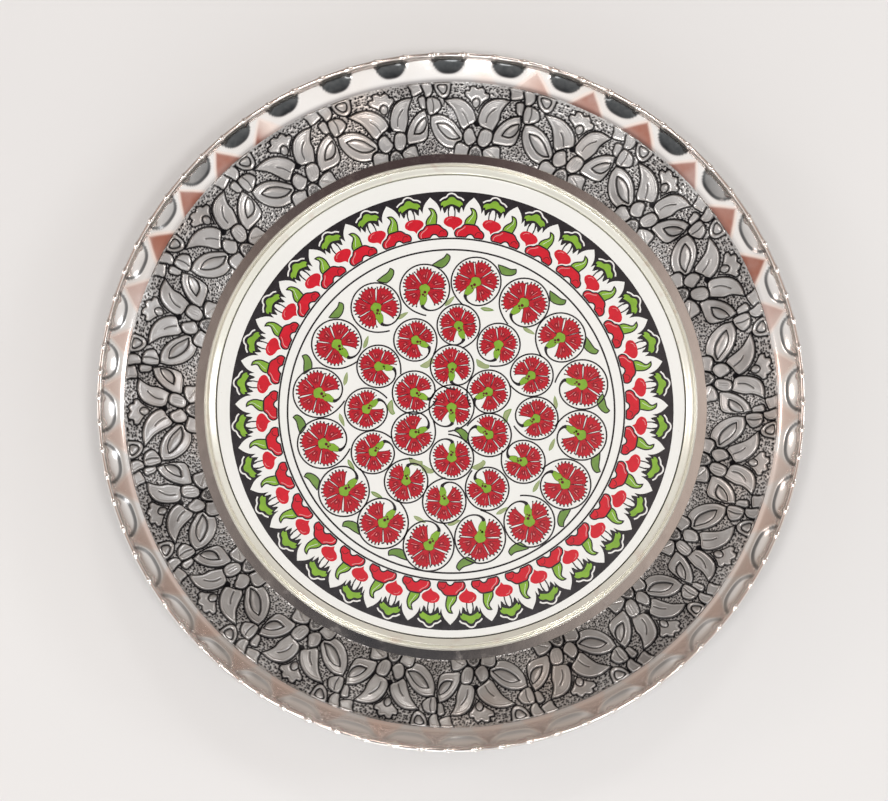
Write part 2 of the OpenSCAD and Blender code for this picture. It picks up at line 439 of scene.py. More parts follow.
class Relief:  # one repeat of the pattern, drawn as heights and patina on a square map
    def __init__(self):
        self.step = band["mapStep"]
        self.nx = int(round(band["cell"] / self.step))
        self.ny = int(round(bandRun / self.step)) + 1
        self.x = -band["cell"] / 2 + np.arange(self.nx) * band["cell"] / self.nx
        self.y = np.arange(self.ny) * bandRun / (self.ny - 1)
        self.gx, self.gy = np.meshgrid(self.x, self.y)
        self.height = np.full(self.gx.shape, band["groundHeight"])
        self.oxide = np.full(self.gx.shape, band["groundOxide"])

    def windows(self, line, margin):  # map areas that a shape reaches, over the seam too
        for shift in (-band["cell"], 0, band["cell"]):
            moved = line + np.array([shift, 0])
            lo, hi = moved.min(0) - margin, moved.max(0) + margin
            cols = np.where((self.x >= lo[0]) & (self.x <= hi[0]))[0]
            rows = np.where((self.y >= lo[1]) & (self.y <= hi[1]))[0]
            if len(cols) and len(rows):
                yield moved, (slice(rows[0], rows[-1] + 1), slice(cols[0], cols[-1] + 1))

    def reach(self, line, area, closed=True):  # distance to a line, positive inside it
        gx, gy = self.gx[area], self.gy[area]
        near = np.full(gx.shape, 1e9)
        inside = np.zeros(gx.shape, bool)
        count = len(line)
        for i in range(count if closed else count - 1):
            (ax, ay), (bx, by) = line[i], line[(i + 1) % count]
            dx, dy = bx - ax, by - ay
            t = np.clip(((gx - ax) * dx + (gy - ay) * dy) / (dx * dx + dy * dy + 1e-12), 0, 1)
            near = np.minimum(near, (gx - ax - t * dx) ** 2 + (gy - ay - t * dy) ** 2)
            if closed and abs(dy) > 1e-9:
                inside ^= ((ay > gy) != (by > gy)) & (gx < ax + (gy - ay) * dx / dy)
        near = np.sqrt(near)
        return np.where(inside, near, -near) if closed else near

    def punch(self, spacing, deep, wide, seed):  # the stippled ground
        draw = random.Random(seed)
        across = int(band["cell"] / spacing)
        stray = band["stray"]
        for row in range(int(bandRun / spacing) + 1):
            for col in range(across):
                place = col + 0.5 * (row % 2) + draw.uniform(-stray, stray)
                cx = -band["cell"] / 2 + place * band["cell"] / across
                cy = (row + draw.uniform(-stray, stray)) * spacing
                strength = draw.uniform(0.6, 1.25)
                for moved, area in self.windows(np.array([[cx, cy]]), 3 * wide):
                    near = (self.gx[area] - moved[0, 0]) ** 2 + (self.gy[area] - moved[0, 1]) ** 2
                    pit = np.exp(-near / wide**2) * strength
                    self.height[area] -= deep * pit
                    self.oxide[area] = np.maximum(self.oxide[area], np.minimum(pit * 2.6, 1))

    def stamp(self, points, level=0.30, dome=0.25, ridge=0.26, groove=0.42, deep=0.55, lines=0.03):
        outline = curve(points)
        for line, area in self.windows(outline, 1.2):
            d = self.reach(line, area)
            face = (level + dome * (1 - np.exp(-np.maximum(d, 0) / 2.0))
                    + ridge * np.exp(-(((d - 0.72) / 0.30) ** 2))
                    + lines * np.sin(d * 7.4) * smooth(d, 1.0, 1.5))
            rise = smooth(d, 0.05, 0.60)
            body = rise * face - (1 - rise) * deep
            ditch = -deep * (1 - (np.clip(-d, 0, groove) / groove) ** 2)
            height = self.height[area]
            height = np.where(d > 0, body, np.where(d > -groove, np.minimum(height, ditch), height))
            self.height[area] = height
            shade = 1 - smooth(np.abs(d), 0.22, 0.50)
            self.oxide[area] = np.where(d > 0, np.maximum(shade, 0.10), np.maximum(self.oxide[area], shade))

    def sink(self, points, level=0.05, ridge=0.22):  # a hollow inside a leaf, with a raised edge round it
        outline = curve(points)
        for line, area in self.windows(outline, 1.6):
            d = self.reach(line, area)
            height = self.height[area]
            height = np.where(d > 0, level + 0.22 * smooth(d, 0.3, 2.0) + 0.03 * np.sin(d * 8.0),
                              height + ridge * np.exp(-(((-d - 0.62) / 0.28) ** 2)))
            cut = np.exp(-((d / 0.30) ** 2))
            self.height[area] = height * (1 - cut) - 0.42 * cut
            shade = 1 - smooth(np.abs(d), 0.18, 0.48)
            self.oxide[area] = np.maximum(np.where(d > 0, 0.22, self.oxide[area]), shade)

    def score(self, points, wide=0.26, deep=0.45, ridge=0.12, dark=1.0):  # a chased line
        line0 = curve(points, closed=False)
        for line, area in self.windows(line0, 1.2):
            d = self.reach(line, area, closed=False)
            cut = np.exp(-((d / wide) ** 2))
            self.height[area] += ridge * np.exp(-(((d - 0.55) / 0.22) ** 2)) - deep * cut
            self.oxide[area] = np.maximum(self.oxide[area], dark * np.exp(-((d / (wide * 1.1)) ** 2)))

    def dome(self, cx, cy, radius, high, dark=0.0):
        for line, area in self.windows(np.array([[cx, cy]]), radius * 1.6):
            near = np.hypot(self.gx[area] - line[0, 0], self.gy[area] - line[0, 1]) / radius
            self.height[area] = np.where(near < 1, self.height[area] + high * (1 - near**2), self.height[area])
            ring = np.exp(-(((near - 1) * radius / 0.25) ** 2))
            self.oxide[area] = np.maximum(self.oxide[area] * (near >= 1) + dark * (near < 1), ring)

    def soften(self):
        h = self.height
        h = (np.roll(h, 1, 1) + 2 * h + np.roll(h, -1, 1)) / 4
        padded = np.vstack([h[:1], h, h[-1:]])
        self.height = (padded[:-2] + 2 * padded[1:-1] + padded[2:]) / 4

    def sample(self, table, x, y):  # x wraps round, y is held to the map
        u = (x + band["cell"] / 2) / band["cell"] * self.nx
        v = np.clip(y / bandRun, 0, 1) * (self.ny - 1)
        i, j = np.floor(u).astype(int), np.minimum(np.floor(v).astype(int), self.ny - 2)
        a, b = u - i, v - j
        i0, i1 = i % self.nx, (i + 1) % self.nx
        return ((1 - b) * ((1 - a) * table[j, i0] + a * table[j, i1])
                + b * ((1 - a) * table[j + 1, i0] + a * table[j + 1, i1]))


def drawRelief():
    art = Relief()
    art.punch(*band["stipple"], band["seed"])
    art.stamp(knotPetalB, level=0.22, dome=0.1)
    art.stamp(knotPetalA, level=0.25, dome=0.1)
    art.sink(knotPetalInner, level=0.12, ridge=0.12)
    art.stamp(knotCurl, level=0.25, dome=0.15)
    art.stamp(knotSide, level=0.22, dome=0.15)
    art.stamp(knotHeart, level=0.28, dome=0.2)
    art.score([(-20.6, 25.0), (-20.1, 22.0), (-20.4, 18.8)])
    art.stamp(palmette, level=0.20, dome=0.05, ridge=0.16)
    art.sink(palmetteBud, level=0.15, ridge=0.18)
    art.stamp(leafRight, level=0.30)
    art.sink(eyeRight)
    art.stamp(leafLeft, level=0.34)
    art.sink(eyeLeft)
    art.stamp(leafUpLeft, level=0.36, dome=0.3)
    art.score(veinUpLeft)
    art.stamp(leafUpRight, level=0.34, dome=0.3)
    art.score(veinUpRight)
    art.stamp(petalLowLeft, level=0.30)
    art.stamp(petalLowRight, level=0.30)
    art.score([(5.6, 2.6), (7.6, 1.6), (9.8, 0.2)], dark=0.5)
    art.stamp(petalUpLeft, level=0.42, dome=0.35, ridge=0.18)
    art.stamp(petalUpRight, level=0.40, dome=0.3, ridge=0.18)
    for x in (3.0, 4.2, 5.4):
        art.score([(x - 0.3, 6.2), (x, 8.2), (x + 0.3, 10.2)], wide=0.16, deep=0.16, ridge=0.05, dark=0.35)
    art.stamp(budHeart, level=0.40, dome=0.35)
    for x, y in ((-1.0, 1.6), (0.5, 2.4), (1.8, 1.5), (0.4, 0.6), (-1.2, 0.1), (2.0, 0.0)):
        art.dome(x, y, 0.55, -0.25, 0.6)
    art.dome(0, 13.7, 1.25, -0.35, 1.0)
    edge = np.exp(-(((bandRun - art.gy - 0.5) / 0.35) ** 2))
    art.height += 0.28 * edge
    art.oxide *= 1 - 0.8 * edge
    art.soften()
    art.height *= smooth(art.gy, -0.25, 0.45) * smooth(bandRun - art.gy, -0.1, 0.4)
    return art


relief = drawRelief()
handDraw = random.Random(band["seed"])
handMoves = [[handDraw.uniform(-1, 1) for _ in range(6)] for _ in range(repeats + 1)]


def handShift(phase, y):  # each repeat was struck a little differently
    index = np.round(phase).astype(int) % repeats
    moves = np.array(handMoves)[index]
    local = phase - np.round(phase)
    calm = np.cos(local * math.pi) ** 2  # nothing moves where two repeats meet
    tilt = y / bandRun - 0.5
    moved = calm * (0.45 * moves[:, 0] + 0.7 * moves[:, 1] * tilt + 0.35 * np.sin(6 * tilt + 3 * moves[:, 2]))
    lift = calm * (0.35 * moves[:, 3] + 0.3 * np.sin(7 * local + 3 * moves[:, 4]))
    return moved, lift * np.clip(y / 4, 0, 1) * np.clip((bandRun - y) / 4, 0, 1), 1 + 0.12 * moves[:, 5]


def bandSurface(phases, ys):  # heights and patina at a grid of places on the band
    rows, values = [], []
    for y in ys:
        yy = np.full(phases.shape, y)
        shiftX, shiftY, strength = handShift(phases, yy)
        x = (phases - np.round(phases)) * band["cell"] + shiftX
        rows.append(relief.sample(relief.height, x, yy + shiftY) * strength)
        values.append(relief.sample(relief.oxide, x, yy + shiftY))
    return np.array(rows), np.array(values)


def bandPoints(phases, ys, lift):  # lift is the height off the nominal slope
    angle = np.radians(phaseToAngle(phases))
    y = np.asarray(ys)[:, None]
    r = band["innerR"] + y * alongR - lift * alongZ
    z = faceZ + y * alongZ + lift * alongR
    return np.stack([r * np.sin(angle), r * np.cos(angle), np.broadcast_to(z, r.shape)], -1)


def makeBand():
    firstPhase = -0.5
    ys = np.linspace(0, bandRun, band["rows"] + 1)
    step = band["backStep"]
    made = []
    for number, share in enumerate(band["shares"]):
        columns = share * band["columns"]
        phases = firstPhase + np.arange(columns + 1) / band["columns"]
        firstPhase += share
        lift, patina = bandSurface(phases, ys)
        front = bandPoints(phases, ys, lift)
        backLift = lift[::step, ::step]
        soft = backLift.copy()
        soft[1:-1, 1:-1] = (backLift[1:-1, 1:-1] * 2 + backLift[:-2, 1:-1] + backLift[2:, 1:-1]
                            + backLift[1:-1, :-2] + backLift[1:-1, 2:]) / 6
        back = bandPoints(phases[::step], ys[::step], soft * 0.8 - band["sheet"])
        nr, nc = front.shape[:2]
        br, bc = back.shape[:2]
        f = np.arange(nr * nc).reshape(nr, nc)
        b = nr * nc + np.arange(br * bc).reshape(br, bc)
        faces = np.stack([f[:-1, :-1], f[1:, :-1], f[1:, 1:], f[:-1, 1:]], -1).reshape(-1, 4).tolist()
        faces += np.stack([b[:-1, :-1], b[:-1, 1:], b[1:, 1:], b[1:, :-1]], -1).reshape(-1, 4).tolist()
        for fineSide, coarseSide, turnedRound in ((f[0], b[0], False), (f[-1], b[-1], True),
                                                  (f[:, 0], b[:, 0], True), (f[:, -1], b[:, -1], False)):
            for k in range(len(coarseSide) - 1):  # closes the sheet's edge between its two faces
                loop = fineSide[k * step:(k + 1) * step + 1].tolist() + coarseSide[k:k + 2][::-1].tolist()
                faces.append(loop[::-1] if turnedRound else loop)
        verts = np.vstack([front.reshape(-1, 3), back.reshape(-1, 3)])
        piece = meshFrom("plate_band_" + "abcd"[number], verts, faces)
        onEdge = np.zeros(len(verts), bool)
        for grid in (f, b):
            for side in (grid[0], grid[-1], grid[:, 0], grid[:, -1]):
                onEdge[side] = True
        keepSharp(piece.data, onEdge)
        keepMark(piece.data, "oxide", np.concatenate([patina.ravel(), np.full(br * bc, band["groundOxide"])]))
        made.append(piece)
    return made


for piece in makeBand():
    settle(piece, embossedFinish, "plate", "silver_plate", "plate_sheet")
print("band embossed")


flange = {
    "beadR": 1.2, "sheet": 0.8,
    "line": [(140.0, 21.8), (141.2, 22.55), (142.4, 23.6), (145.0, 26.2), (147.1, 28.5), (148.1, 30.0),
             (148.5, 31.3)],
    "flutes": [-1.7, 8.6, 18.6, 28.9, 39.7, 50, 60.6, 70, 78.8, 88, 96.9, 106.1, 114.8, 123.9, 132.3, 141.1,
               149.8, 159.2, 168.3, 177, 185.5, 194.9, 204.5, 212.6, 220.7, 229.8, 239, 248.3, 257.2, 266,
               274.4, 282.5, 291.8, 301.4, 310.4, 319.4, 328.9, 338.9, 348.4],  # degrees clockwise from the top
    "columnsPerFlute": 32,
    "frontRows": 44, "backRows": 10, "beadRows": 18, "seed": 11,
    "scoopDepth": 1.7, "scoopReach": 0.70,  # each hollow, in millimetres and in the flange's length
    "scoopHalf": [(0, 0.31), (40, 0.33), (75, 0.42), (120, 0.45), (160, 0.49), (200, 0.49), (240, 0.44),
                  (285, 0.41), (320, 0.33), (360, 0.31)],  # in flutes, by degrees
    # painted reflection: dark hollows set by angle, mostly standing in for the dark surroundings they mirror,
    # partly patina
    "patina": [(0, 1), (42, 1), (66, 0), (294, 0), (318, 1), (360, 1)],  # dark hollows, by degrees
    # painted reflection: hollows dark round their edge on the sides, set by angle
    "ringReflection": [(0, 0), (42, 0), (66, 0.85), (115, 0.8), (150, 0.15), (210, 0.15), (245, 0.8),
               (294, 0.85), (318, 0), (360, 0)],  # hollows dark only round their edge
    "nubPlace": 0.25, "nubHalf": 0.034, "nubHeight": 0.42, "nubDip": 0.10,  # the rim's nubs and the flats between
    "wornReach": 0.85, "wornWidth": 0.36,  # of the copper on each ridge, in the flange's length and in flutes
    # copper wear on the ridges by angle, weak at the top and strong on the upper sides: partly real wear, partly
    # painted reflection
    "wornAndReflection": [(0, 0.1), (4, 0.5), (13, 0.85), (24, 1), (66, 1), (76, 0.85), (90, 0.76), (130, 0.7), (165, 0.62),
             (215, 0.75), (275, 0.78), (290, 0.9), (300, 1), (322, 1), (332, 0.15), (360, 0.1)],  # by degrees
    "margin": 0.01,  # kept inside the dish's outside size
}
beadCentre = np.array([rimR - flange["beadR"], rimZ - flange["beadR"]])


def flangeLine():  # the upper line of the flange by its length, and its upper normal
    line = curve(flange["line"], closed=False, per=12)
    run = np.gradient(line, axis=0)
    run /= np.hypot(run[:, :1], run[:, 1:])
    length = np.concatenate([[0], np.cumsum(np.hypot(*np.diff(line, axis=0).T))])
    return line, np.stack([-run[:, 1], run[:, 0]], -1), length / length[-1]


def alongLine(line, share, at):
    return np.stack([np.interp(at, share, line[:, 0]), np.interp(at, share, line[:, 1])], -1)


def flangeRows():  # the outline round the flange: its face, the rolled bead, its back
    bead = flange["beadR"] - 0.02 - flange["nubHeight"] * 0.5
    line, normal, share = flangeLine()
    under = line - normal * flange["sheet"]
    fine = np.linspace(0, 1, 400)
    endFront, endBack = (fine[np.where(np.hypot(*(alongLine(path, share, fine) - beadCentre).T) > bead)[0][-1]]
                         for path in (line, under))
    tFront = np.linspace(0, endFront, flange["frontRows"])
    tBack = np.linspace(endBack, 0, flange["backRows"])
    frontLine, backLine = alongLine(line, share, tFront), alongLine(under, share, tBack)
    a0 = math.atan2(*(frontLine[-1] - beadCentre)[::-1])
    a1 = math.atan2(*(backLine[0] - beadCentre)[::-1])
    while a0 < a1:
        a0 += math.tau
    turn = np.linspace(a0, a1 if a0 - a1 > math.pi else a1 - math.tau, flange["beadRows"] + 2)[1:-1]
    spoke = np.stack([np.cos(turn), np.sin(turn)], -1)
    points = np.vstack([frontLine, beadCentre + spoke * bead, backLine])
    normals = np.vstack([alongLine(normal, share, tFront), spoke, alongLine(normal, share, tBack)])
    front, back, onBead = tFront / endFront, tBack / endBack, np.ones(len(turn))
    t = np.concatenate([front, onBead, back])
    nubShare = np.concatenate([smooth(front, 0.66, 0.92), onBead, -smooth(back, 0.8, 1)])
    return points, normals, t[:, None], nubShare[:, None]


def makeFlange():
    points, normals, t, nubShare = flangeRows()
    rows = len(points)
    count = len(flange["flutes"])
    columns = flange["columnsPerFlute"] * count
    phases = np.arange(columns) / flange["columnsPerFlute"]
    degrees = np.interp(phases, range(count + 1), flange["flutes"] + [flange["flutes"][0] + 360])
    flute = np.round(phases).astype(int)
    q = np.abs(phases - flute)  # from the middle of a flute, in flutes
    draw = random.Random(flange["seed"])
    uneven = np.array([[draw.uniform(-1, 1) for _ in range(3)] for _ in range(count)])[flute % count]

    def byDegrees(name):
        return np.interp(degrees % 360, *zip(*flange[name]))

    half = np.minimum(byDegrees("scoopHalf") * (1 + 0.05 * uneven[:, 0]), 0.5)
    depth = flange["scoopDepth"] * (1 + 0.15 * uneven[:, 1])
    reach = flange["scoopReach"] * (1 + 0.06 * uneven[:, 2])
    hollow = 1 - (q / half) ** 2.6 - ((1 - t) / reach) ** 2
    hollow = 0.5 * (hollow + np.sqrt(hollow ** 2 + 0.002))  # rounds the hollow's edge
    drop = depth * hollow * (1 - smooth(t, 0.90, 1.0)) * smooth(t, 0.0, 0.1)
    place = flange["nubPlace"]
    nub = np.exp(-(((q - place) / flange["nubHalf"]) ** 2))
    flat = np.where(q < place, 1 - (q / place) ** 2, 1 - ((0.5 - q) / (0.5 - place)) ** 2)
    swell = nubShare * (flange["nubHeight"] * nub - flange["nubDip"] * np.clip(flat, 0, 1))
    r = np.minimum(points[:, :1] + normals[:, :1] * swell, rimR - flange["margin"])
    z = np.minimum(points[:, 1:] + normals[:, 1:] * swell - drop, rimZ - flange["margin"])
    angle = np.radians(degrees)
    verts = np.stack([r * np.sin(angle), r * np.cos(angle), z], -1)
    grid = np.arange(rows * columns).reshape(rows, columns)
    right = np.roll(grid, -1, 1)
    below, belowRight = np.roll(grid, -1, 0), np.roll(right, -1, 0)
    faces = np.stack([grid, below, belowRight, right], -1).reshape(-1, 4).tolist()
    piece = meshFrom("plate_flange", verts.reshape(-1, 3), faces)
    row = np.arange(rows)[:, None]
    keepSharp(piece.data, np.isin(grid.ravel() // columns, [0, rows - 1]))

    # copper wear on the ridges and bead, scaled by angle: partly real wear, partly painted reflection
    edge = flange["wornWidth"] * np.clip(1 - t / flange["wornReach"], 0, 1) + 0.02 - (0.5 - q)
    ridge = smooth(edge, -0.10, 0.12) * (row < flange["frontRows"]) * byDegrees("wornAndReflection")
    crest = np.exp(-(((row - flange["frontRows"] - 0.42 * flange["beadRows"]) / 1.6) ** 2))
    keepMark(piece.data, "wear", np.maximum(crest * (0.75 - 0.7 * nub), ridge))
    # painted reflection: hollows darkened whole at the top and round their edge at the sides, by angle, with some
    # patina
    dark = smooth(hollow, 0.04, 0.20) * byDegrees("patina")
    dark = dark + smooth(hollow, 0.0, 0.12) * (1 - smooth(hollow, 0.30, 0.48)) * byDegrees("ringReflection")
    keepMark(piece.data, "patina", dark * ((row < flange["frontRows"]) & (t < 0.93)))
    return piece


settle(makeFlange(), flangeFinish, "plate", "silver_plate", "plate_sheet")
print("flange fluted")


well = {"wallR": 103.5, "fillet": 1.4, "sheet": 0.8, "lip": 0.35}


def arc(cx, cz, radius, a0, a1, steps):
    return [(cx + radius * math.cos(math.radians(a0 + (a1 - a0) * i / steps)),
             cz + radius * math.sin(math.radians(a0 + (a1 - a0) * i / steps))) for i in range(steps + 1)]


def makeWell():
    s = well["sheet"]
    bendR, bendZ = well["wallR"] - well["fillet"], s + well["fillet"]
    lipZ = faceZ - well["lip"]
    inner = band["innerR"]
    profile = [(0, s)] + [(r, s) for r in range(12, 102, 15)]
    profile += arc(bendR, bendZ, well["fillet"], -90, 0, 6)
    profile += arc(well["wallR"] + well["lip"], lipZ, well["lip"], 180, 90, 4)
    profile += [(inner - 4, faceZ), (inner - 0.5, faceZ), (inner, faceZ), (inner + 0.2, faceZ - s)]
    profile += arc(well["wallR"] + s + 0.4, faceZ - s - 0.4, 0.4, 90, 180, 4)
    profile += arc(bendR, bendZ, well["fillet"] + s, 0, -90, 8)
    profile += [(r, 0) for r in range(90, 0, -15)] + [(0, 0)]
    return spun("plate_well", profile, 360, 40)


settle(makeWell(), wellFinish, "plate", "silver_plate", "plate_sheet")


bezel = {
    "width": 5.0, "skirt": 0.8, "skirtDepth": 3.4,
    "groove": (0.45, 0.85), "grooveDepth": 0.4,  # the solder groove, in shares of the width
    "crown": [(0, 0.20), (0.04, 0.30), (0.42, 0.86), (0.47, 0.955), (0.51, 0.995), (0.55, 0.985), (0.59, 0.90),
              (0.63, 0.66), (0.66, 0.46), (0.69, 0.40), (0.72, 0.45), (0.76, 0.58), (0.80, 0.655), (0.84, 0.67),
              (0.88, 0.64), (0.93, 0.54), (0.97, 0.36), (1.0, 0.14), (1.0, 0.0)],  # in shares of width and height
}


def makeBezel():
    inR = bezelR - bezel["width"]
    high = bezelTop - faceZ
    profile = [(inR + x * bezel["width"], faceZ + z * high) for x, z in curve(bezel["crown"], closed=False, per=3)]
    grooveIn, grooveOut = (inR + share * bezel["width"] for share in bezel["groove"])
    grooveTop, skirtR, skirtZ = faceZ + bezel["grooveDepth"], inR + bezel["skirt"], faceZ - bezel["skirtDepth"]
    profile += [(grooveOut, faceZ), (grooveOut, grooveTop), (grooveIn, grooveTop), (grooveIn, faceZ),
                (skirtR, faceZ), (skirtR, skirtZ), (inR, skirtZ), profile[0]]
    return spun("bezel_crown", profile, 360, 50)


settle(makeBezel(), bezelFinish, "plate", "bezel_silver", "bezel_ring")
print("well and bezel turned")


hanger = {
    "wire": 1.8, "gap": 0.05,
    "strip": 0.8, "width": 6.0, "length": 9.0, "film": 0.25, "lip": 0.9,
    "stripEdge": 0.12,  # rounding of the strip's edges
    "poolTop": 0.58, "poolUnder": 0.35, "poolRound": 0.55, "ripple": 0.02,  # the solder round the tab
    "ringWidth": 11.0, "ringBend": 1.5, "legs": 7.07,
    "around": 20, "brazeHalf": 0.6, "brazeHigh": 0.035,  # sides of the wire, and the joint in its bar
}
eyeIn = hanger["wire"] / 2 + hanger["gap"]
eyeOut = eyeIn + hanger["strip"]
eyeLift = hanger["film"] + eyeOut  # from the dish's back to the middle of the eye


def onBack(x, up, off):  # across, up the slope, and off the back of the band, from the foot below the eye
    footY = hinge[1] - eyeLift * alongZ
    footZ = hinge[2] + eyeLift * alongR
    return (x, footY + up * alongR + off * alongZ, footZ + up * alongZ - off * alongR)


def makeTab():  # one strip folded round the bar: two leaves that touch, and the eye
    half = hanger["strip"] / 2 - 0.03
    strip, length = hanger["strip"], hanger["length"]
    lower, upper = hanger["film"] + strip / 2, hanger["film"] + 1.5 * strip
    mid = eyeIn + strip / 2
    path = [(-length + 0.3, lower), (-length * 0.5, lower), (-1.2, lower)]
    path += [(mid * math.cos(math.radians(a)), eyeLift + mid * math.sin(math.radians(a)))
             for a in range(-90, 141, 15)]
    path += [(-1.75, upper + 0.25), (-2.6, upper), (-length * 0.6, upper), (-length, upper)]
    path = np.array(path)
    run = np.gradient(path, axis=0)
    run /= np.hypot(run[:, :1], run[:, 1:])
    side = np.stack([-run[:, 1], run[:, 0]], -1) * half
    outline = np.vstack([path + side, (path - side)[::-1]])
    count = len(outline)
    halfWidth = hanger["width"] / 2
    verts = [onBack(x, up, off) for x in (-halfWidth, halfWidth) for up, off in outline]
    n = count // 2
    faces = []
    for k in range(count):
        j = (k + 1) % count
        faces.append([k, j, j + count, k + count])
    for k in range(n - 1):
        faces.append([k, count - 1 - k, count - 2 - k, k + 1][::-1])
        faces.append([count + k, 2 * count - 1 - k, 2 * count - 2 - k, count + k + 1])
    piece = meshFrom("hanger_strip", verts, faces, smoothed=False)
    faceOut(piece)
    softEdge = piece.modifiers.new("softEdge", "BEVEL")
    softEdge.width = hanger["stripEdge"] * mm
    softEdge.segments = 2
    softEdge.angle_limit = math.radians(50)
    bpy.ops.object.modifier_apply(modifier="softEdge")
    bpy.ops.object.shade_smooth_by_angle(angle=math.radians(40))
    return piece


def makeTabSolder():  # a soft puddle that has run out round the strip
    bpy.ops.object.select_all(action="DESELECT")
    bpy.ops.mesh.primitive_cube_add(size=2)
    piece = bpy.context.object
    piece.name = "tab_solder_pool"
    piece.data.name = "tab_solder_pool"
    bpy.ops.object.mode_set(mode="EDIT")
    bpy.ops.mesh.select_all(action="SELECT")
    bpy.ops.mesh.subdivide(number_cuts=24)
    bpy.ops.object.mode_set(mode="OBJECT")
    draw = random.Random(5)
    waves = [(draw.uniform(0.8, 2.4), draw.uniform(0, 6)) for _ in range(4)]
    halfWide = hanger["width"] / 2 + hanger["lip"]
    long0, long1 = -hanger["length"] - hanger["lip"], -eyeOut
    for vert in piece.data.vertices:
        x, y, z = vert.co
        length = max(abs(x), abs(y))
        spread = math.hypot(x, y)
        if spread > 1e-6:  # square to rounded square
            squash = (length / spread) ** hanger["poolRound"]
            x, y = x * squash, y * squash
        turnAt = math.atan2(y, x)
        ripple = 1 + hanger["ripple"] * sum(math.sin(w * 2 * turnAt + p) for w, p in waves)
        x, y = x * ripple, y * ripple
        edge = min(1, max(abs(x), abs(y)))
        up = (long0 + long1) / 2 + y * (long1 - long0) / 2 * 0.98
        top = 0.02 + hanger["poolTop"] * (1 - edge ** 6)
        off = -hanger["poolUnder"] + (z + 1) / 2 * (hanger["poolUnder"] + top)
        vert.co = Vector(onBack(x * halfWide * 0.98, up, off)) * mm
    faceOut(piece)
    bpy.ops.object.shade_smooth_by_angle(angle=math.radians(60))
    return piece


def makeRing():  # round wire bent to a D, its ends brazed in the middle of the bar
    barHalf = hanger["ringWidth"] / 2 - hanger["ringBend"]
    bend, wide, legs = hanger["ringBend"], hanger["ringWidth"] / 2, hanger["legs"]
    right = [(x, 0) for x in np.linspace(0.4, barHalf, 5)]
    right += arc(barHalf, -bend, bend, 90, 0, 8)[1:]
    right += [(wide, -bend - legs * k / 4) for k in range(1, 5)]
    right += arc(0, -bend - legs, wide, 0, -90, 16)[1:]
    path = np.array([(0, 0)] + right + [(-x, z) for x, z in right[::-1][1:]])
    run = np.roll(path, -1, 0) - np.roll(path, 1, 0)
    run /= np.hypot(run[:, :1], run[:, 1:])
    normal = np.stack([-run[:, 1], run[:, 0]], -1)
    around, brazeHalf = hanger["around"], hanger["brazeHalf"]
    verts = []
    for (x, z), (nx, nz) in zip(path, normal):
        radius = hanger["wire"] / 2 - 0.005
        if abs(x) < brazeHalf and z > -0.1:
            radius += hanger["brazeHigh"] * (1 - abs(x) / brazeHalf)
        for k in range(around):
            a = math.tau * k / around
            out, off = radius * math.cos(a), radius * math.sin(a)
            verts.append((x + nx * out, hinge[1] + off, hinge[2] + z + nz * out))
    rows = len(path)
    faces = []
    for i in range(rows):
        j = (i + 1) % rows
        for k in range(around):
            m = (k + 1) % around
            faces.append([i * around + k, j * around + k, j * around + m, i * around + m])
    piece = meshFrom("hanging_loop", verts, faces)
    faceOut(piece)
    return piece


copperFinish = plainMetal("copperStrip", (0.72, 0.42, 0.30, 1), (0.50, 0.27, 0.18, 1), 0.25, (0.16, 0.08, 0.05, 1))
brassFinish = plainMetal("brassWire", (0.78, 0.58, 0.28, 1), (0.62, 0.42, 0.18, 1), 0.18, (0.22, 0.13, 0.06, 1))
solderFinish = plainMetal("softSolder", (0.55, 0.55, 0.56, 1), (0.38, 0.38, 0.40, 1), 0.38, (0.16, 0.15, 0.15, 1))
settle(makeTab(), copperFinish, "plate", "copper_strip", "hanger_tab")
settle(makeTabSolder(), solderFinish, "plate", "solder", "tab_solder")
settle(makeRing(), brassFinish, "ring", "brass_wire", "hanging_ring")
print("hanger made")


paint = {
    "sink": 0.02,  # how far each colour is bedded into the glaze
    "border": (0.4, -2.2),  # middle of the printed border
    "medallion": (0.2, -3.2), "turn": -1.45,
    "line": 0.66,
}


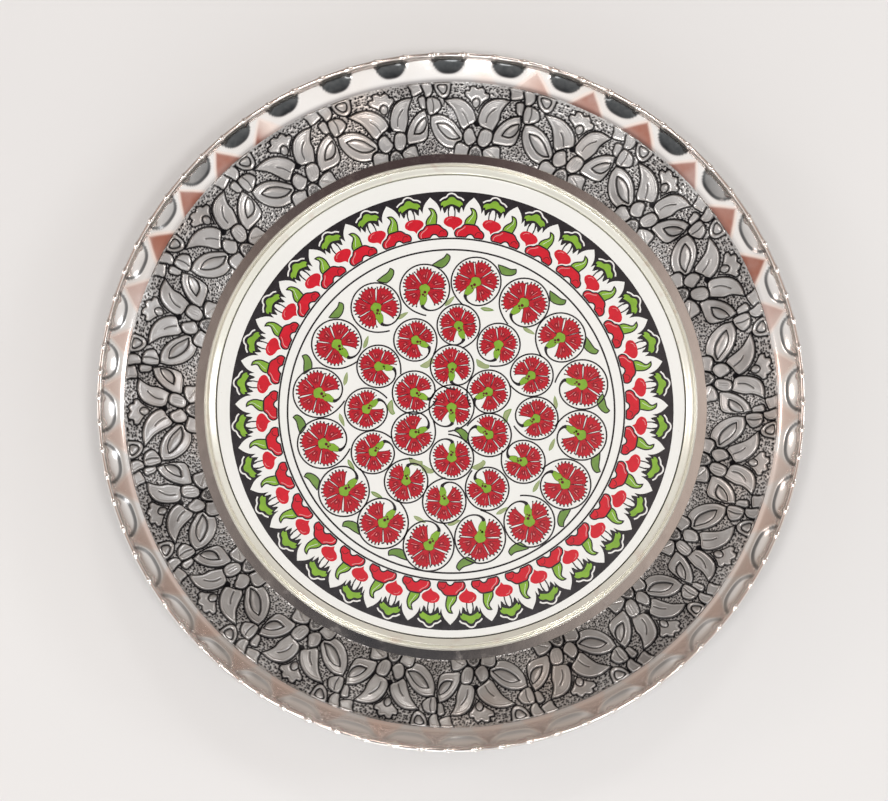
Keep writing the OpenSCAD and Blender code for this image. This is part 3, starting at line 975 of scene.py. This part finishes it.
class Colour:  # everything of one colour, gathered into one mesh
    def __init__(self, name, high):
        self.name, self.high = name, high
        self.verts, self.faces = [], []
        self.turn = 0

    def level(self):  # marks that cross never share one plane
        self.turn = (self.turn + 1) % 9
        return faceZ + self.high + 0.0012 * self.turn

    def add(self, points, top):
        start = len(self.verts)
        low = faceZ - paint["sink"]
        self.verts += [(x, y, top) for x, y in points] + [(x, y, low) for x, y in points]
        return start

    def fill(self, outline, raised=0.0):  # a flat shape with its edge closed
        points = [tuple(p) for p in outline]
        area = sum(a[0] * b[1] - b[0] * a[1] for a, b in zip(points, points[1:] + points[:1]))
        if area < 0:
            points.reverse()
        n = len(points)
        s = self.add(points, self.level() + raised)
        self.faces.append(list(range(s, s + n)))
        self.faces.append(list(range(s + 2 * n - 1, s + n - 1, -1)))
        for i in range(n):
            j = (i + 1) % n
            self.faces.append([s + n + i, s + n + j, s + j, s + i])

    def stroke(self, line, width, closed=False, raised=0.0):  # width may be a list, for a brush that lifts
        line = np.array(line, float)
        if closed:
            run = np.roll(line, -1, 0) - np.roll(line, 1, 0)
        else:
            run = np.gradient(line, axis=0)
        run /= np.maximum(np.hypot(run[:, :1], run[:, 1:]), 1e-9)
        side = np.stack([-run[:, 1], run[:, 0]], -1) * (np.broadcast_to(width, (len(line),))[:, None] / 2)
        left, right = line + side, line - side
        n = len(line)
        top, low = self.level() + raised, faceZ - paint["sink"]
        s = len(self.verts)
        for (lx, ly), (rx, ry) in zip(left, right):
            self.verts += [(lx, ly, top), (rx, ry, top), (rx, ry, low), (lx, ly, low)]
        for i in range(n if closed else n - 1):
            a, b = s + 4 * i, s + 4 * ((i + 1) % n)
            self.faces += [[a, a + 1, b + 1, b], [a + 1, a + 2, b + 2, b + 1],
                           [a + 2, a + 3, b + 3, b + 2], [a + 3, a, b, b + 3]]
        if not closed:
            e = s + 4 * (n - 1)
            self.faces += [[s, s + 3, s + 2, s + 1], [e, e + 1, e + 2, e + 3]]

    def finished(self, finish):
        piece = meshFrom(self.name, self.verts, self.faces, smoothed=False)
        settle(piece, finish, "plate", "glazed_disc")
        return piece


blackPaint = Colour("paint_black", 0.050)
groundPaint = Colour("paint_border_ground", 0.026)
redPaint = Colour("paint_red", 0.036)
carnationPaint = Colour("paint_carnation", 0.034)
maroonPaint = Colour("paint_maroon", 0.044)
greenPaint = Colour("paint_green", 0.040)
olivePaint = Colour("paint_olive", 0.038)
sagePaint = Colour("paint_sage", 0.036)
whitePaint = Colour("paint_white", 0.046)
pinkPaint = Colour("paint_pink", 0.048)

border = {
    "count": 31, "first": 6.2,  # degrees clockwise from the top
    "grow": 1.012, "outer": 95.5, "lineOut": 75.3, "lineIn": 71.2, "lineWidth": 0.75,
    "drift": [(0, -1.5), (40, -0.5), (80, 0.7), (110, 0.9), (140, 0.6), (160, -0.1), (180, -1.2), (220, -3.1),
              (260, -4.0), (300, -3.3), (340, -2.2), (360, -1.5)],  # how the painter's spacing wandered
}
borderPitch = 360 / border["count"]
# outlines in degrees from a petal's point and millimetres from the middle
petalEdge = [(0.0, 93.2), (-1.4, 90.9), (-2.2, 88.8), (-2.6, 86.4)]
petalNotch = [(-3.0, 88.2), (-4.2, 90.6), (-5.8, 91.2), (-7.4, 90.6), (-8.6, 88.2)]
capLine = [(-9.1, 91.4), (-8.2, 92.5), (-7.3, 93.0), (-6.8, 94.1), (-5.9, 94.6), (-5.0, 94.1), (-4.3, 93.0),
           (-3.3, 92.5), (-2.6, 91.5)]
crownShape = [(-8.7, 88.7), (-9.0, 90.2), (-8.1, 91.5), (-7.3, 91.7), (-6.6, 92.9), (-5.9, 93.3), (-5.1, 92.9),
              (-4.4, 91.8), (-3.6, 91.5), (-2.8, 90.3), (-2.8, 88.7, 1), (-3.2, 89.3, 1), (-3.5, 88.2),
              (-3.8, 85.9, 1), (-4.4, 87.6), (-5.1, 88.7), (-5.9, 89.4), (-6.7, 88.7), (-7.4, 87.5),
              (-7.9, 85.9, 1), (-8.3, 88.1), (-8.4, 89.3, 1)]
crownShade = [(-8.3, 88.2, 1), (-8.0, 87.0), (-7.5, 86.3, 1), (-7.2, 88.0), (-6.6, 86.6, 1), (-6.3, 88.5),
              (-5.9, 88.8), (-5.5, 88.5), (-5.2, 86.6, 1), (-4.6, 88.0), (-4.3, 86.3, 1), (-3.8, 87.0),
              (-3.4, 88.2, 1), (-4.4, 89.0), (-5.9, 89.8), (-7.4, 89.0)]
tubeLines = [[(-6.8, 88.6), (-6.85, 86.2), (-6.75, 84.2)], [(-5.05, 88.6), (-4.95, 86.2), (-5.0, 84.2)]]
budShape = [(-8.3, 81.9), (-7.8, 83.5), (-6.8, 84.2), (-5.8, 84.4), (-4.9, 84.2), (-3.6, 83.7), (-2.7, 82.3),
            (-2.9, 80.9), (-3.8, 79.8), (-4.7, 79.0), (-5.3, 77.9, 1), (-5.9, 79.2), (-7.1, 79.8), (-8.0, 80.8)]
flowerShape = [(-4.4, 75.2, 1), (-4.8, 75.9), (-4.9, 77.3), (-4.1, 78.7), (-3.0, 79.3), (-2.0, 80.8), (-0.3, 81.0),
               (1.2, 80.9), (2.1, 80.3), (3.0, 78.9), (3.9, 78.1), (4.4, 76.7), (4.1, 75.2, 1), (1.5, 75.2, 1),
               (1.1, 75.9), (0.5, 76.5), (-0.3, 76.5), (-0.9, 75.9), (-1.3, 75.2, 1)]
hookLeaf = [(-2.0, 80.9, 1), (-1.8, 82.7), (-1.1, 84.2), (-0.3, 85.4), (-0.1, 86.6), (-0.7, 88.4, 1), (0.4, 88.0),
            (1.1, 86.5), (1.4, 84.6), (1.2, 82.4), (1.0, 80.9, 1)]
flowerLight = [(-4.1, 75.6), (-4.0, 77.0), (-3.4, 78.0), (-2.4, 78.9), (-1.7, 79.9)]
flowerFold = [(1.6, 76.2), (1.9, 77.4), (2.7, 78.0), (3.4, 77.3)]
budLight = [(-7.4, 82.2), (-6.8, 83.3), (-5.8, 83.6)]
leafLight = [(-0.9, 82.0), (-0.2, 83.8), (0.4, 85.6), (0.2, 87.0)]


def ringPoint(apex, degrees, r):
    a, r = math.radians(apex + degrees), r * border["grow"]
    return (paint["border"][0] + r * math.sin(a), paint["border"][1] + r * math.cos(a))


# what each unit is painted with, in order: filled where there is no width, closed where it is below 0
unitMarks = [
    (whitePaint, capLine, 0.66), (greenPaint, crownShape, None), (blackPaint, crownShape, -0.52),
    (blackPaint, crownShade, None), (blackPaint, tubeLines[0], 0.52), (blackPaint, tubeLines[1], 0.52),
    (redPaint, budShape, None), (pinkPaint, budLight, 0.22),
    (redPaint, flowerShape, None), (blackPaint, flowerShape, -0.60), (pinkPaint, flowerLight, 0.34),
    (maroonPaint, flowerFold, 0.30),
    (greenPaint, hookLeaf, None), (blackPaint, hookLeaf, -0.58), (whitePaint, leafLight, 0.16),
]


def paintBorder():
    draw = random.Random(3)
    even = [border["first"] + k * borderPitch for k in range(border["count"])]
    apexes = [a + np.interp(a % 360, *zip(*border["drift"])) + draw.uniform(-0.08, 0.08) for a in even]
    for apex, before in zip(apexes, [apexes[-1] - 360] + apexes[:-1]):
        gap = apex - before
        squeeze = gap / borderPitch
        arcTop = [(-gap * (1 - i / 6), border["outer"]) for i in range(7)]
        right = curve(petalEdge, closed=False, per=4)
        left = [(-gap - d, r) for d, r in right]
        rim = [(a * squeeze, r) for a, r in petalNotch]
        outline = arcTop + [tuple(p) for p in right] + rim + [tuple(p) for p in left][::-1]
        groundPaint.fill([ringPoint(apex, a, r) for a, r in outline])
        for brush, shape, width in unitMarks:
            line = [ringPoint(apex, a * squeeze, r) for a, r in curve(shape, width is None or width < 0, 3)]
            if width is None:
                brush.fill(line)
            else:
                brush.stroke(line, abs(width), closed=width < 0)
    for r, middle in ((border["lineOut"], paint["border"]), (border["lineIn"], paint["medallion"])):
        circle = [(middle[0] + r * math.sin(math.radians(a)), middle[1] + r * math.cos(math.radians(a)))
                  for a in range(0, 360, 2)]
        blackPaint.stroke(circle, border["lineWidth"], closed=True)


# each coil: across, up, and the clock direction of its stem
outerCoils = [(-11.4, 53.7, 189), (11.2, 56.8, 219), (32.3, 47.3, 229), (48.1, 31.7, 236), (57.4, 10.8, 286),
              (56.6, -11.5, 300), (49.4, -32.9, 315), (33.6, -49.2, 353), (12.3, -56.1, 13), (-9.9, -59.4, 36),
              (-29.6, -49.6, 42), (-46.5, -35.7, 46), (-55.8, -14.8, 113), (-57.9, 7.5, 119), (-50.0, 29.1, 141),
              (-32.8, 45.4, 162)]
middleCoils = [(3.4, 37.3, 160), (20.9, 28.7, 191), (35.2, 15.0, 232), (37.1, -4.1, 240), (31.3, -23.1, 287),
               (15.5, -34.8, 309), (-3.1, -40.3, 351), (-19.6, -31.5, 4), (-34.0, -18.7, 45), (-37.0, 0.1, 50),
               (-31.7, 19.1, 98), (-15.6, 30.8, 117)]
innerCoils = [(0.5, 19.0, 184), (16.5, 7.8, 243), (16.6, -11.3, 304), (0.2, -21.3, 4), (-16.5, -10.6, 69),
              (-16.1, 7.5, 117)]
centreCoil = [(0.2, 1.0, 176)]
# each leaf: across, up, clock direction of its tip
gapLeaves = [(-4.0, 66.1, 54), (24.8, 62.2, 107), (46.7, 49.4, 123), (61.2, 28.0, 141), (66.6, 2.4, 161),
             (63.4, -23.6, 182), (48.8, -47.3, 205), (28.8, -61.2, 250), (6.2, -67.4, 245), (-23.1, -63.4, 287),
             (-43.0, -51.6, 298), (-60.2, -31.3, 318), (-66.2, -6.4, 339), (-63.5, 20.1, 356), (-50.2, 43.8, 35),
             (-28.6, 59.4, 48)]
thinLeaves = [(16.0, 44.2, 100), (34.1, 34.5, 120), (45.6, 2.9, 355), (43.9, -15.7, 25), (36.9, -33.8, 30),
              (22.0, -44.5, 60), (1.1, -49.6, 70), (-13.8, -48.2, 120), (-32.3, -37.5, 120), (-43.5, -24.5, 150),
              (-47.7, -4.6, 160), (-45.8, 13.6, 12), (-37.0, 29.8, 20), (-21.2, 41.5, 60), (-0.3, 48.0, 45)]
smallLeaves = [(13.7, 20.1, 118), (-10.5, 20.5, 55), (-25.8, 1.0, 170), (24.6, -2.7, 200), (11.8, -24.5, 60),
               (-15.6, -22.7, 108), (-10.5, -25.9, 116)]

coilLine = [(-1, 0.68), (6, 0.79), (19, 0.90), (38, 0.975), (60, 1.0), (95, 1.0), (130, 1.0), (165, 1.0),
            (200, 1.0), (235, 1.0), (270, 1.0), (305, 1.0), (335, 1.01), (356, 1.04), (372, 1.10)]
stemWidths = [1.1, 1.5, 1.5, 1.35, 1.2, 1.05, 0.95, 0.85, 0.75]  # the brush thins out from the hook
petalVeins = [(-15, 0.42, 0.70), (-8, 0.34, 0.46), (8.5, 0.34, 0.74), (15.5, 0.45, 0.68)]
petalDrop = [(0, 0.40), (5.5, 0.48), (6, 0.55), (0, 0.61), (-6, 0.55), (-5.5, 0.48)]
petalSpot = [(0, 0.47), (2.6, 0.51), (0, 0.56), (-2.6, 0.51)]
petalLight = [(10.5, 0.45), (11.5, 0.58), (12.5, 0.69)]
petalTip = [(-2.4, -0.01), (-1.2, 0.016), (1.2, 0.016), (2.4, -0.01), (1.0, -0.06), (-1.0, -0.06)]
seeds = [(0.03, -0.14, 0.065), (-0.03, -0.25, 0.05), (0.05, -0.30, 0.035)]  # across, up, radius
petalTips = [(-29.3, 0.82), (-19.5, 0.88), (-9.7, 0.905), (0, 0.91), (9.7, 0.90), (19.5, 0.875), (29.3, 0.81)]
petalSide = [(36, 0.10), (29.5, 0.20), (27.6, 0.32), (27.4, 0.45), (27.8, 0.57), (28.4, 0.68)]
calyxShape = [(-0.07, 0.17), (0.0, 0.20), (0.08, 0.17), (0.20, 0.08), (0.22, -0.03), (0.15, -0.13), (0.16, -0.20),
              (0.12, -0.26), (0.16, -0.40), (0.13, -0.55), (0.08, -0.68), (0.01, -0.72), (-0.07, -0.68),
              (-0.11, -0.55), (-0.15, -0.40), (-0.12, -0.26), (-0.16, -0.20), (-0.15, -0.13), (-0.22, -0.03),
              (-0.20, 0.08)]
leafShape = [(-0.49, 0.22, 1), (-0.14, 0.19), (0.2, 0.13), (0.44, 0.28, 1), (0.49, -0.08), (0.41, -0.3),
             (0.27, -0.47), (0.03, -0.6), (-0.2, -0.58, 1), (-0.38, -0.15)]
thinShape = [(-0.5, 0.1, 1), (-0.2, 0.38), (0.15, 0.36), (0.5, 0.1, 1), (0.15, -0.2), (-0.2, -0.3)]


def turned(x, y):  # the whole medallion was painted a little askew
    a = math.radians(paint["turn"])
    return (paint["medallion"][0] + x * math.cos(a) + y * math.sin(a),
            paint["medallion"][1] - x * math.sin(a) + y * math.cos(a))


coil = {
    "petals": 5, "petalStep": 61.5, "lean": -12,  # degrees
    "edge": 0.26, "vein": 0.17, "drop": 0.22, "light": 0.15, "calyx": 0.16,  # widths of the brush lines
}


class Coil:  # one scroll with a carnation in it
    def __init__(self, x, y, stem, radius, turnsLeft, draw):
        self.x, self.y = turned(x, y)
        self.radius = radius
        self.up = math.radians(stem + 180 + paint["turn"])
        self.flip = 1 if turnsLeft else -1
        self.draw = draw

    def at(self, x, y):  # x to the scroll's side, y away from the stem, in radii
        x = x * self.flip * self.radius
        y = y * self.radius
        return (self.x + x * math.cos(self.up) + y * math.sin(self.up),
                self.y - x * math.sin(self.up) + y * math.cos(self.up))

    def polar(self, degrees, r):
        return self.at(r * math.sin(math.radians(degrees)), r * math.cos(math.radians(degrees)))

    def scroll(self):
        line = [self.polar(180 - a, r) for a, r in curve(coilLine, False, 4)]
        width = np.full(len(line), paint["line"])
        width[:len(stemWidths)] = stemWidths
        blackPaint.stroke(line, width, raised=0.012)

    def around(self, middle, marks):  # a petal's marks, in degrees from its middle and in radii
        return [self.polar(middle + a, r) for a, r in marks]

    def petal(self, middle):
        spread = 1 + self.draw.uniform(-0.05, 0.05)
        length = 1 + self.draw.uniform(-0.03, 0.03)
        tips = []
        for i, (a, r) in enumerate(petalTips):
            tips.append((a * spread, r * length))
            if i < len(petalTips) - 1:  # the notch before the next tip
                tips.append(((a + 4.8) * spread, (r - 0.095 - self.draw.uniform(0, 0.03)) * length))
        side = [tuple(p) for p in curve(petalSide, False, 2)]
        points = self.around(middle, [(-a, r) for a, r in side] + tips + side[::-1])
        carnationPaint.fill(points, self.draw.uniform(0, 0.002))
        n = len(side)
        maroonPaint.stroke(points[2:n + len(tips) + n - 2], coil["edge"])
        for a, r in tips[::2]:
            blackPaint.fill([self.polar(middle + a + da, r + dr) for da, dr in petalTip])
        bend = self.draw.uniform(-2, 2)
        for a, r0, r1 in petalVeins:
            vein = [(a * 0.8, r0), (a + bend, (r0 + r1) / 2), (a * 1.1, r1)]
            maroonPaint.stroke(self.around(middle, vein), coil["vein"])
        maroonPaint.stroke(curve(self.around(middle, petalDrop), True, 2), coil["drop"], closed=True)
        pinkPaint.fill(self.around(middle, petalSpot))
        pinkPaint.stroke(self.around(middle, petalLight), coil["light"])

    def flower(self):
        petals = coil["petals"]
        for k in range(petals):
            turn = coil["lean"] + (k - petals // 2) * coil["petalStep"]
            self.petal(turn + self.draw.uniform(-1.5, 1.5))
        calyx = [self.at(x, y) for x, y in curve(calyxShape, True, 2)]
        greenPaint.fill(calyx, 0.016)
        maroonPaint.stroke(calyx, coil["calyx"], closed=True, raised=0.014)
        for x, y, size in seeds:
            maroonPaint.fill([self.at(x + size * math.cos(a), y + size * math.sin(a))
                              for a in np.linspace(0, math.tau, 9)[:-1]], 0.018)


def paintLeaf(colour, line, shape, x, y, toward, length, width, outlined):
    a = math.radians(toward + paint["turn"])
    cx, cy = turned(x, y)
    points = []
    for u, v in curve(shape, True, 3):
        u, v = u * length, v * width
        points.append((cx + u * math.sin(a) - v * math.cos(a), cy + u * math.cos(a) + v * math.sin(a)))
    colour.fill(points)
    line.stroke(points, outlined, closed=True)


def paintMedallion():
    draw = random.Random(19)
    for coils, radius, turnsLeft in ((outerCoils, 10.95, True), (middleCoils, 9.4, False),
                                     (innerCoils, 9.5, True), (centreCoil, 9.8, False)):
        for x, y, stem in coils:
            scroll = Coil(x, y, stem, radius, turnsLeft, draw)
            scroll.flower()
            scroll.scroll()
    # leaves, colour, outline's colour, shape, length, width, outline's width
    for leaves, colour, line, shape, length, width, outlined in (
            (gapLeaves, olivePaint, blackPaint, leafShape, 8.8, 4.6, 0.50),
            (thinLeaves, sagePaint, olivePaint, thinShape, 5.8, 1.9, 0.42),
            (smallLeaves, sagePaint, olivePaint, leafShape, 6.4, 2.8, 0.42),
            ([(4.6, -11.3, 318)], olivePaint, blackPaint, leafShape, 8.0, 4.0, 0.50)):
        for x, y, toward in leaves:
            paintLeaf(colour, line, shape, x, y, toward, length, width, outlined)


paintBorder()
paintMedallion()
blackFinish = glazePaint("glazeBlack", (0.010, 0.009, 0.012, 1), (0.018, 0.016, 0.022, 1))
finishes = (
    (groundPaint, blackFinish),
    (blackPaint, blackFinish),
    (redPaint, glazePaint("glazeRed", (0.68, 0.012, 0.030, 1), (0.55, 0.006, 0.020, 1))),
    (carnationPaint, glazePaint("glazeCarnation", (0.56, 0.014, 0.030, 1), (0.38, 0.008, 0.018, 1), 700)),
    (maroonPaint, glazePaint("glazeMaroon", (0.12, 0.006, 0.014, 1), (0.07, 0.004, 0.010, 1))),
    (greenPaint, glazePaint("glazeGreen", (0.26, 0.48, 0.045, 1), (0.19, 0.38, 0.030, 1))),
    (olivePaint, glazePaint("glazeOlive", (0.20, 0.34, 0.08, 1), (0.13, 0.25, 0.05, 1))),
    (sagePaint, glazePaint("glazeSage", (0.42, 0.46, 0.26, 1), (0.30, 0.37, 0.16, 1))),
    (whitePaint, glazePaint("glazeSlip", (0.88, 0.88, 0.86, 1), (0.82, 0.82, 0.80, 1))),
    (pinkPaint, glazePaint("glazePink", (0.80, 0.36, 0.36, 1), (0.70, 0.25, 0.26, 1))),
)
for colour, finish in finishes:
    colour.finished(finish)
print("disc painted")

nodes = frame["nodes"]
for node, finish in (("ceramic_disc", glazedWhite()), ("mastic_bed", rubberPutty()),
                     ("bezel_solder", solderFinish)):
    for used in nodes[node].material_slots:
        used.material = finish
print("CAD nodes finished")


studio = {
    "away": 0.875, "tilt": 8.75, "lens": 80.8, "aim": (-3.0, 1.7),
    "lamps": [  # name, side angle, height angle, distance, size, watts, colour
        ("frontLamp", 184, 8, 1.7, 0.5, 4, (1.0, 0.99, 0.97)),
        ("highLampLeft", 222, 72, 1.5, 0.22, 4, (1.0, 0.99, 0.97)),
        ("highLampRight", 140, 72, 1.5, 0.22, 4, (1.0, 0.99, 0.97)),
        ("leftLamp", 280, 30, 1.6, 0.35, 1.5, (1.0, 0.86, 0.80)),
        ("rightLamp", 80, 34, 1.6, 0.35, 2, (0.95, 0.97, 1.0)),
        ("backLamp", 10, 50, 1.7, 0.3, 2, (1.0, 0.97, 0.94)),
    ],
}


def makeFloor():
    bpy.ops.object.select_all(action="DESELECT")
    bpy.ops.mesh.primitive_plane_add(size=6)
    floor = bpy.context.object
    floor.name = "studio_floor"
    finish, w, shader = newFinish("paleFloor", {"Roughness": 0.9, "Specular IOR Level": 0.2})
    cloud = w.noise(3, 2).over(0.3, 0.7)
    feed(w, shader, {"Base Color": cloud.blend((0.80, 0.80, 0.80, 1), (0.77, 0.77, 0.775, 1))})
    floor.data.materials.append(finish)


def makeSky():
    world = bpy.data.worlds.new("studioSky")
    world.use_nodes = True
    bpy.context.scene.world = world
    w = Wire(world.node_tree)
    facing = w.node("ShaderNodeTexCoord", out="Generated")
    across, depth, height = (w.node("ShaderNodeSeparateXYZ", {}, {0: facing}, k) for k in range(3))
    front = [(0.0, (1.0, 1.0, 0.99, 1)), (0.35, (1.15, 1.15, 1.14, 1)), (0.60, (0.80, 0.79, 0.79, 1)),
             (0.80, (0.27, 0.265, 0.27, 1)), (0.93, (0.06, 0.055, 0.065, 1)), (1.0, (0.012, 0.015, 0.022, 1))]
    rear = [(0.0, (0.34, 0.29, 0.26, 1)), (0.30, (0.50, 0.45, 0.41, 1)), (0.62, (0.37, 0.355, 0.34, 1)),
            (0.90, (0.28, 0.22, 0.18, 1)), (0.95, (0.07, 0.035, 0.035, 1)), (0.985, (0.03, 0.02, 0.022, 1)),
            (1.0, (0.012, 0.015, 0.022, 1))]
    colour = depth.over(-0.5, 0.6).blend(w.node("ShaderNodeValToRGB", {"stops": front}, {0: height}),
                                         w.node("ShaderNodeValToRGB", {"stops": rear}, {0: height}))
    beside = w.node("ShaderNodeMath", {"operation": "ABSOLUTE"}, {0: across})
    level = 1 - w.node("ShaderNodeMath", {"operation": "ABSOLUTE"}, {0: depth}).over(0.2, 0.45)
    either = across.over(0.02, 0.17) + (0 - across).over(0.06, 0.27)
    glow = either * (1 - beside.over(0.36, 0.50)) * height.over(0.78, 0.90) * level
    colour = glow.blend(colour, (0.85, 0.72, 0.64, 1))
    flank = beside.over(0.45, 0.70) * height.over(0.15, 0.40) * (1 - height.over(0.78, 0.90))
    colour = (flank * 0.6).blend(colour, (0.92, 0.91, 0.90, 1))
    back = world.node_tree.nodes["Background"]
    world.node_tree.links.new(colour.socket, back.inputs["Color"])
    back.inputs["Strength"].default_value = 1.08


def makeLamps():
    target = Vector((0, 0, faceZ * mm))
    for name, side, high, far, size, watts, colour in studio["lamps"]:
        a, e = math.radians(side), math.radians(high)
        place = Vector((math.sin(a) * math.cos(e), math.cos(a) * math.cos(e), math.sin(e))) * far
        lamp = bpy.data.lights.new(name, "AREA")
        lamp.shape, lamp.size, lamp.energy, lamp.color = "DISK", size, watts, colour
        holder = bpy.data.objects.new(name, lamp)
        holder.location = place
        holder.rotation_euler = (target - place).to_track_quat("-Z", "Y").to_euler()
        bpy.context.scene.collection.objects.link(holder)


def makeCamera():
    tilt = math.radians(studio["tilt"])
    eye = bpy.data.objects.new("studioCamera", bpy.data.cameras.new("studioCamera"))
    eye.data.lens = studio["lens"]
    eye.data.sensor_width = 36
    eye.location = Vector((0, -math.sin(tilt), math.cos(tilt))) * studio["away"]
    aim = Vector((studio["aim"][0] * mm, studio["aim"][1] * mm, 0))
    eye.rotation_euler = (aim - eye.location).to_track_quat("-Z", "Y").to_euler()
    bpy.context.scene.collection.objects.link(eye)
    bpy.context.scene.camera = eye


makeFloor()
makeSky()
makeLamps()
makeCamera()
bpy.context.scene.view_settings.view_transform = "Standard"
bpy.ops.object.select_all(action="DESELECT")
print("studio ready")
